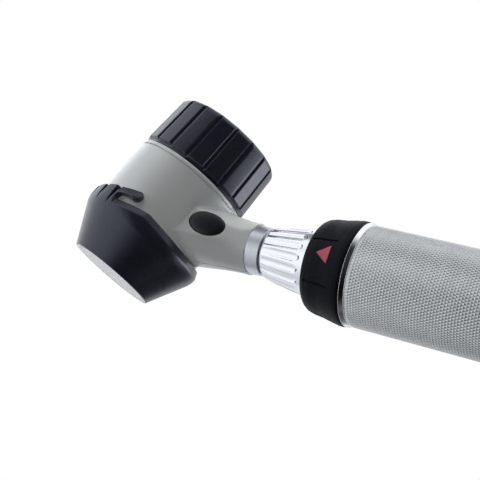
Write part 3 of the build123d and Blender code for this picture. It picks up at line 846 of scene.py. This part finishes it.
FLUTES = 18
SOCKET_TOP = CROSSING.z - reach("connector", HANDLE)[1]
SOCKET_OUTSIDE = ((7.5, 0), (7.75, 0.25), (8.6, 4.2), (9.22, 8.3), (9.72, 11.6), (10.4, 16.0))
SOCKET_STEP = 0.65              # the fluted cone starts this far below the socket's lip
RIM_LOW = 16.5                  # underside of the cone, below the socket's mouth
FLUTE_R = 1.75
SET_SCREW_D, SET_SCREW_ANGLE, SET_SCREW_R = 55.1, math.radians(-67), 0.62
SOCKET_R, SOCKET_DEPTH = 5.85, 9.8
TRACK_R, TRACK_TOP, TRACK_FOOT = 6.7, 4.8, 6.8   # where the plug's lugs turn
STEM_R, STEM_TOP, STEM_FOOT = 8.0, 15, 34.8
CABLE_WAY_R = 3.2
LIP_R = 6.9                     # the plain lip that stands above the cone


def connector_field(p):
    x, y = p[..., 0], p[..., 1]
    depth = CROSSING.z - p[..., 2] - SOCKET_TOP
    r, angle = np.hypot(x, y), np.arctan2(y, x)
    outside = np.interp(depth, [d for _, d in SOCKET_OUTSIDE], [o for o, _ in SOCKET_OUTSIDE])
    outer = both((r - outside) * 0.97, SOCKET_STEP - depth, 0.15)
    outer = both(outer, depth - RIM_LOW, 0.1)
    pitch = 2 * math.pi / FLUTES
    local = angle % pitch - pitch / 2
    plain = np.interp(depth, (0, 11.6), (7.75, 9.72))
    half_chord = 0.405 * pitch * plain
    centre = plain + np.sqrt(FLUTE_R ** 2 - half_chord ** 2)
    past = np.maximum(depth - 11.2, 0) * 0.6
    flute = np.sqrt((r * np.sin(local)) ** 2 + (r * np.cos(local) - centre) ** 2 + past ** 2) - FLUTE_R
    outer = without(outer, flute, 0.08)
    screw_x = r * np.sin(angle - SET_SCREW_ANGLE)
    screw = np.hypot(screw_x, depth + SOCKET_TOP - SET_SCREW_D) - SET_SCREW_R
    screw = np.maximum(screw, np.maximum(8.7 - r, 1 - np.cos(angle - SET_SCREW_ANGLE) - 0.1))
    outer = without(outer, screw)
    outer = np.minimum(outer, np.maximum(r - LIP_R, np.maximum(-depth, depth - 2)))
    stem = np.maximum(r - STEM_R, np.maximum(STEM_TOP - depth, depth - STEM_FOOT))
    widest = np.where((depth > TRACK_TOP) & (depth < TRACK_FOOT), TRACK_R, SOCKET_R)
    bore = np.maximum(r - widest, depth - SOCKET_DEPTH)
    bore = np.minimum(bore, r - CABLE_WAY_R)
    return np.maximum(np.minimum(outer, stem), -bore)


def connector():
    top = CROSSING.z - SOCKET_TOP
    heights = steps(top - 35.3, top + 0.3, 0.22, [(top - 34.5, top - 17.2, 2.2)])
    mesh = skin(connector_field, round_grid(396, steps(2.9, 11.6, 0.22), heights), wrap=True)
    stand_for("connector", mesh, HANDLE, "handle", 30)


DIMMER_OUTSIDE = ((11.9, 58.05), (12.6, 58.4), (13.2, 58.9), (13.85, 59.85), (14.3, 61.5),
                  (14.65, 64.5), (15.25, 67.5), (15.6, 69.6), (15.6, 70.7), (15.35, 71.35))
DIMMER_INSIDE = ((10.7, 58.05), (10.7, 58.99), (10.0, 59.0), (10.0, 60.59), (11.9, 60.6), (13.9, 69.5),
                 (14.0, 71.35))
DIMMER_TOP, DIMMER_FOOT = 58.05, 71.35
DIMMER_PANELS = 7
DIMMER_LINE = -82.5             # place of one of the lines between panels, in degrees
LINE_D, LINE_LENGTH, LINE_R, LINE_CUT = 63.8, 7.2, 0.38, 0.35
RELEASE_ANGLE = math.atan2(-JOINTS["release_press"]["axis"][1], -JOINTS["release_press"]["axis"][0])
RELEASE_D = 64.9
RELEASE_LENGTH, RELEASE_WIDTH = 4.1, 5.6


def dimmer_outer(r, depth):
    """Outside of the dimmer ring, a soft bulge between two chamfers."""
    radius = np.interp(depth, [d for _, d in DIMMER_OUTSIDE], [o for o, _ in DIMMER_OUTSIDE])
    return (r - radius) * np.where(depth < 59.8, 0.75, 0.97)


def triangle_field(along, across, grow, rounding=0.35):
    """Triangle with rounded corners, its point towards growing along."""
    tip, foot = RELEASE_LENGTH * 0.6, -RELEASE_LENGTH * 0.4
    lean = math.atan2(RELEASE_WIDTH / 2, tip - foot)
    sides = (np.abs(across) - (tip - along) * math.tan(lean)) * math.cos(lean)
    return both(sides, foot - along, rounding) - grow


def dimmer_field(p):
    depth = CROSSING.z - p[..., 2]
    r, angle = np.hypot(p[..., 0], p[..., 1]), np.arctan2(p[..., 1], p[..., 0])
    ends = both(DIMMER_TOP - depth, depth - DIMMER_FOOT)
    outer = both(dimmer_outer(r, depth), ends, 0.25)
    inner = np.interp(depth, [d for _, d in DIMMER_INSIDE], [i for i, _ in DIMMER_INSIDE])
    body = np.maximum(outer, inner - r)
    turn = math.radians(360 / DIMMER_PANELS)
    from_line = (angle - math.radians(DIMMER_LINE) + turn / 2) % turn - turn / 2
    past_end = np.maximum(np.abs(depth - LINE_D) - LINE_LENGTH / 2, 0)
    line = np.hypot(from_line * r, past_end) - LINE_R
    line = np.maximum(line, -dimmer_outer(r, depth) - LINE_CUT)
    body = without(body, line, 0.1)
    across = r * np.sin(angle - RELEASE_ANGLE)
    hole = triangle_field(RELEASE_D - depth, across, 0.1)
    hole = np.maximum(hole, np.cos(angle - RELEASE_ANGLE) * -r + 5)
    return without(body, hole, 0.08)


def dimmer_ring():
    heights = steps(CROSSING.z - DIMMER_FOOT - 0.3, CROSSING.z - DIMMER_TOP + 0.3, 0.22)
    grid = round_grid(440, steps(9.7, 16.0, 0.24), heights)
    stand_for("dimmer_ring", skin(dimmer_field, grid, wrap=True), HANDLE, "dimmer", 30)


def release_button():
    """Red triangle that follows the ring's surface and stands a little proud of it."""
    out = Vector((math.cos(RELEASE_ANGLE), math.sin(RELEASE_ANGLE), 0))
    up = Vector((0, 0, 1))
    place = axes_matrix(up, out.cross(up), out, Vector((0, 0, CROSSING.z - RELEASE_D)))

    def field(p):
        along, across, out_by = p[..., 0], p[..., 1], p[..., 2]
        face = dimmer_outer(np.hypot(across, out_by), RELEASE_D - along) - 0.25
        cap = both(triangle_field(along, across, 0), face, 0.15)
        cap = np.maximum(cap, 11.0 - out_by)
        flange = np.maximum(triangle_field(along, across, 0.7), np.abs(out_by - 11.3) - 0.3)
        return np.minimum(cap, flange)

    grid = plain_grid(steps(-3, 4.4, 0.14), steps(-4.2, 4.2, 0.14), steps(10.8, 16.3, 0.2))
    stand_for("release_button", skin(field, grid), place, "release_button", 40)


def collar():
    outline = down(
        (8.0, 71.6, 0), (15.3, 71.6, 0.08), (15.55, 71.75, 0.1), (15.02, 73.0, 0.05),
        (13.35, 73.0, 0), (13.35, 78.0, 0.1), (8.0, 78.0, 0),
    )
    stand_for("collar", lathe(outline, 200), HANDLE, "handle", 24)


# ---- handle tube and base cap ----
KNURLS = 104                    # ridges of each hand round the tube
KNURL_SLANT = math.radians(28)
KNURL_DEPTH = 0.14
KNURL_POINTS = 2 * KNURLS       # points in each ring of the mesh


def round_point(r, index):
    """x and y of a numbered point of a ring."""
    turn = index * math.pi / KNURLS
    return r * math.cos(turn), r * math.sin(turn)


def knurl(radius, low, high):
    """Diamond knurl on a round surface: a pyramid on every rhombus between two hands of grooves."""
    width = 2 * math.pi * radius / KNURLS
    rows = 2 * round((high - low) * math.tan(KNURL_SLANT) / width)
    heights = np.linspace(low, high, rows + 1)
    points, faces = [], []
    for row, z in enumerate(heights):
        for index in range(KNURL_POINTS):
            is_peak = (index + row) % 2 == 0
            edge = row in (0, rows)
            r = radius if is_peak and not edge else radius - KNURL_DEPTH
            points.append((*round_point(r, index), z))
    for row in range(rows):
        for index in range(KNURL_POINTS):
            here = row * KNURL_POINTS + index
            right = row * KNURL_POINTS + (index + 1) % KNURL_POINTS
            above, above_right = here + KNURL_POINTS, right + KNURL_POINTS
            if (index + row) % 2 == 0:
                faces += [(here, right, above), (right, above_right, above)]
            else:
                faces += [(here, right, above_right), (here, above_right, above)]
    return points, faces


def knurled_shell(radius, low, high, ends):
    """Knurled stretch closed by plain outline points: ends run from its top to its bottom."""
    points, faces = knurl(radius, low, high)
    starts = [len(points) - KNURL_POINTS]
    for r, z in ends:
        starts.append(len(points))
        points += [(*round_point(r, index), z) for index in range(KNURL_POINTS)]
    for first, second in zip(starts, starts[1:] + [0]):
        for index in range(KNURL_POINTS):
            after = (index + 1) % KNURL_POINTS
            faces.append((first + index, first + after, second + after, second + index))
    return np.array(points), faces


def handle_tube():
    low, high, radius = reach("handle_tube", HANDLE)
    inset = radius - KNURL_DEPTH
    ends = [(inset, high - 0.25), (radius - 0.03, high - 0.22), (radius - 0.03, high), (13.35, high),
            (13.35, 18.5), (13.9, 17.5), (13.9, low), (radius - 0.35, low), (radius - 0.05, low + 0.3),
            (radius - 0.05, low + 0.9), (inset, low + 1.0)]
    mesh = knurled_shell(radius, low + 1.1, high - 0.35, ends)
    stand_for("handle_tube", mesh, HANDLE, "handle", 12)


def base_cap():
    _, high, radius = reach("base_cap", HANDLE)
    top, spigot, bore = 7.7, 13.82, 13.2
    groove = radius - 0.35
    outline = rounded(
        (0, 0.6, 0), (8.0, 0.6, 0.2), (8.4, 0, 0.2), (radius - 1.2, 0, 0.6), (radius, 1.2, 0.5),
        (radius, 2.4, 0.1), (groove, 2.55, 0.05), (groove, 2.85, 0.05), (radius, 3.0, 0.1),
        (radius, top, 0.3), (spigot, top, 0), (spigot, high, 0.2), (bore, high, 0.1), (bore, 3.0, 0),
        (0, 3.0, 0),
    )

    def shape(a, r, z):
        """Sixty shallow flutes round the cap's side."""
        grip = smooth(z, 3.2, 3.7) * (1 - smooth(z, 6.7, 7.2)) * (r > 14.5)
        return r - 0.2 * grip * (0.5 + 0.5 * np.cos(60 * a))

    band = [(radius, z) for z in np.linspace(3.4, 7.1, 14)]
    split = np.flatnonzero((outline[:, 0] > radius - 0.01) & (outline[:, 1] > 2.9))[1]
    outline = np.insert(outline, split, band, axis=0)
    stand_for("base_cap", lathe(outline, 720, shape), HANDLE, "base_cap", 30)


# ---- CAD nodes that keep their shape ----
def finish_cad_nodes():
    """The finish of every node that no piece replaces."""
    for node, piece in frame["nodes"].items():
        if piece.hide_render:
            continue
        piece.data.materials.clear()
        piece.data.materials.append(FINISHES[NODE_SLOT[node]])


# ---- studio ----
# Lamps and surroundings are placed by the directions of the main view, and stay where they are
# when another view is taken.
VIEW_FROM = Vector((-110.237, -262.593, 12.977 - 190)) * MM + CROSSING * MM
VIEW_ALONG = Vector((0.34917, 0.81863, 0.45599)).normalized()
VIEW_UP = Vector((0.85042, -0.48120, 0.21268)).normalized()
VIEW_RIGHT = VIEW_ALONG.cross(VIEW_UP)
LENS_MM, SENSOR_MM = 78.65, 36.0


def camera():
    data = bpy.data.cameras.new("camera")
    data.lens = LENS_MM
    data.sensor_width = SENSOR_MM
    data.clip_start = 0.005
    data.clip_end = 20
    made = bpy.data.objects.new("camera", data)
    right = VIEW_RIGHT.normalized()
    made.matrix_world = axes_matrix(right, right.cross(VIEW_ALONG), -VIEW_ALONG, VIEW_FROM)
    bpy.context.scene.collection.objects.link(made)
    bpy.context.scene.camera = made


def lamp(name, direction, strength):
    """A broad, even lamp that shines from a direction and isn't seen in what surfaces mirror."""
    data = bpy.data.lights.new(name, "SUN")
    data.angle = math.radians(40)
    data.energy = strength
    made = bpy.data.objects.new(name, data)
    made.rotation_euler = (-direction).to_track_quat("-Z", "Y").to_euler()
    made.visible_glossy = made.visible_transmission = made.visible_camera = False
    bpy.context.scene.collection.objects.link(made)


def surroundings():
    """White backdrop; what the surfaces mirror is bright all round but dark on the main view's side."""
    world = bpy.data.worlds.new("surroundings")
    bpy.context.scene.world = world
    world.cycles_visibility.diffuse = False
    world.use_nodes = True
    tree = world.node_tree
    backdrop = tree.nodes["Background"]
    backdrop.inputs["Color"].default_value = (1, 1, 1, 1)
    backdrop.inputs["Strength"].default_value = 1.0
    room = tree.nodes.new("ShaderNodeBackground")
    room.inputs["Color"].default_value = (0.93, 0.95, 1.0, 1)
    direction = tree.nodes.new("ShaderNodeTexCoord").outputs["Generated"]

    def ramp(toward, low, high, first, last):
        """A strength that goes from first to last as a direction turns toward a given one."""
        dot = tree.nodes.new("ShaderNodeVectorMath")
        dot.operation = "DOT_PRODUCT"
        dot.inputs[1].default_value = toward
        tree.links.new(direction, dot.inputs[0])
        span = tree.nodes.new("ShaderNodeMapRange")
        span.interpolation_type = "SMOOTHSTEP"
        limits = {"From Min": low, "From Max": high, "To Min": first, "To Max": last}
        for name, value in limits.items():
            span.inputs[name].default_value = value
        tree.links.new(dot.outputs["Value"], span.inputs["Value"])
        return span.outputs["Result"]

    def combine(operation, one, two):
        made = tree.nodes.new("ShaderNodeMath")
        made.operation = operation
        tree.links.new(one, made.inputs[0])
        tree.links.new(two, made.inputs[1])
        return made.outputs[0]

    right = VIEW_RIGHT
    level = ramp(VIEW_ALONG, -0.65, -0.05, 0.03, 1.1)
    level = combine("MULTIPLY", level, ramp(VIEW_UP, -0.6, 0.6, 0.12, 1.0))
    level = combine("MAXIMUM", level, ramp(VIEW_ALONG, -0.05, 0.45, 0.0, 0.85))
    left_side = ramp(-right, 0.35, 0.8, 0.0, 1.1)
    left_side = combine("MULTIPLY", left_side, ramp(VIEW_UP, -0.7, 0.2, 0.6, 1.0))
    right_side = ramp(right, 0.35, 0.85, 0.0, 1.3)
    right_side = combine("MULTIPLY", right_side, ramp(VIEW_ALONG, -0.5, 0.0, 0.0, 1.0))
    level = combine("MAXIMUM", level, combine("ADD", left_side, right_side))
    behind_left = (VIEW_UP * 0.38 - right * 0.4 + VIEW_ALONG * 0.83).normalized()
    level = combine("ADD", level, ramp(behind_left, 0.82, 0.97, 0.0, 0.6))
    window = (right * 0.86 - VIEW_UP * 0.48 + VIEW_ALONG * 0.12).normalized()
    level = combine("ADD", level, ramp(window, 0.82, 0.97, 0.0, 2.0))
    card = (VIEW_UP * 0.92 + VIEW_ALONG * 0.38 - right * 0.05).normalized()
    level = combine("MULTIPLY", level, ramp(card, 0.91, 0.98, 1.0, 0.25))
    under = (right * 0.38 - VIEW_UP * 0.88 + VIEW_ALONG * 0.25).normalized()
    level = combine("MULTIPLY", level, ramp(under, 0.80, 0.95, 1.0, 0.12))
    tree.links.new(level, room.inputs["Strength"])
    seen = tree.nodes.new("ShaderNodeLightPath").outputs["Is Camera Ray"]
    blend = tree.nodes.new("ShaderNodeMixShader")
    tree.links.new(seen, blend.inputs["Fac"])
    tree.links.new(room.outputs[0], blend.inputs[1])
    tree.links.new(backdrop.outputs[0], blend.inputs[2])
    tree.links.new(blend.outputs[0], tree.nodes["World Output"].inputs["Surface"])


def floor():
    """Plain pale floor that the handle's foot stands on. It gives the object no light."""
    size, rows = 1.2, 12
    xs = np.linspace(-size, size, rows + 1)
    points = [(x, y, 0.0) for x in xs for y in xs]
    faces = []
    for i in range(rows):
        for j in range(rows):
            here = i * (rows + 1) + j
            faces.append((here, here + rows + 1, here + rows + 2, here + 1))
    mesh = bpy.data.meshes.new("floor")
    mesh.from_pydata(points, [], faces)
    made = bpy.data.objects.new("floor", mesh)
    bpy.context.scene.collection.objects.link(made)
    paint = Paint("floor_paint", specular=0.2)
    paint.colour((0.80, 0.80, 0.80), (0.84, 0.84, 0.84), 60)
    paint.roughness(0.7, 0.8, 30)
    paint.shader.inputs["Emission Color"].default_value = (1, 1, 1, 1)
    paint.shader.inputs["Emission Strength"].default_value = 0.25
    mesh.materials.append(paint.bump(0.05, 2).material)
    made.visible_glossy = made.visible_diffuse = made.visible_shadow = False


def studio():
    camera()
    surroundings()
    floor()
    lamp("upper_left", VIEW_UP * 0.6 - VIEW_RIGHT * 0.8 + VIEW_ALONG * 0.1, 0.85)
    lamp("top", VIEW_UP - VIEW_RIGHT * 0.1, 1.4)
    lamp("rim", VIEW_UP * 0.6 + VIEW_RIGHT * 0.5 + VIEW_ALONG * 0.6, 3.4)
    lamp("front", VIEW_RIGHT * 0.3 - VIEW_ALONG, 0.7)
    lamp("low", -VIEW_UP - VIEW_ALONG * 0.1, 0.7)
    lamp("behind", VIEW_ALONG - VIEW_RIGHT * 0.3, 0.85)
    bpy.context.scene.view_settings.view_transform = "Standard"


# ---- build ----
studio()
housing_half(True)
housing_half(False)
contact_cap()
contact_glass()
focus_ring()
toggle_button()
neck_ring()
connector()
dimmer_ring()
release_button()
collar()
handle_tube()
base_cap()
finish_cad_nodes()
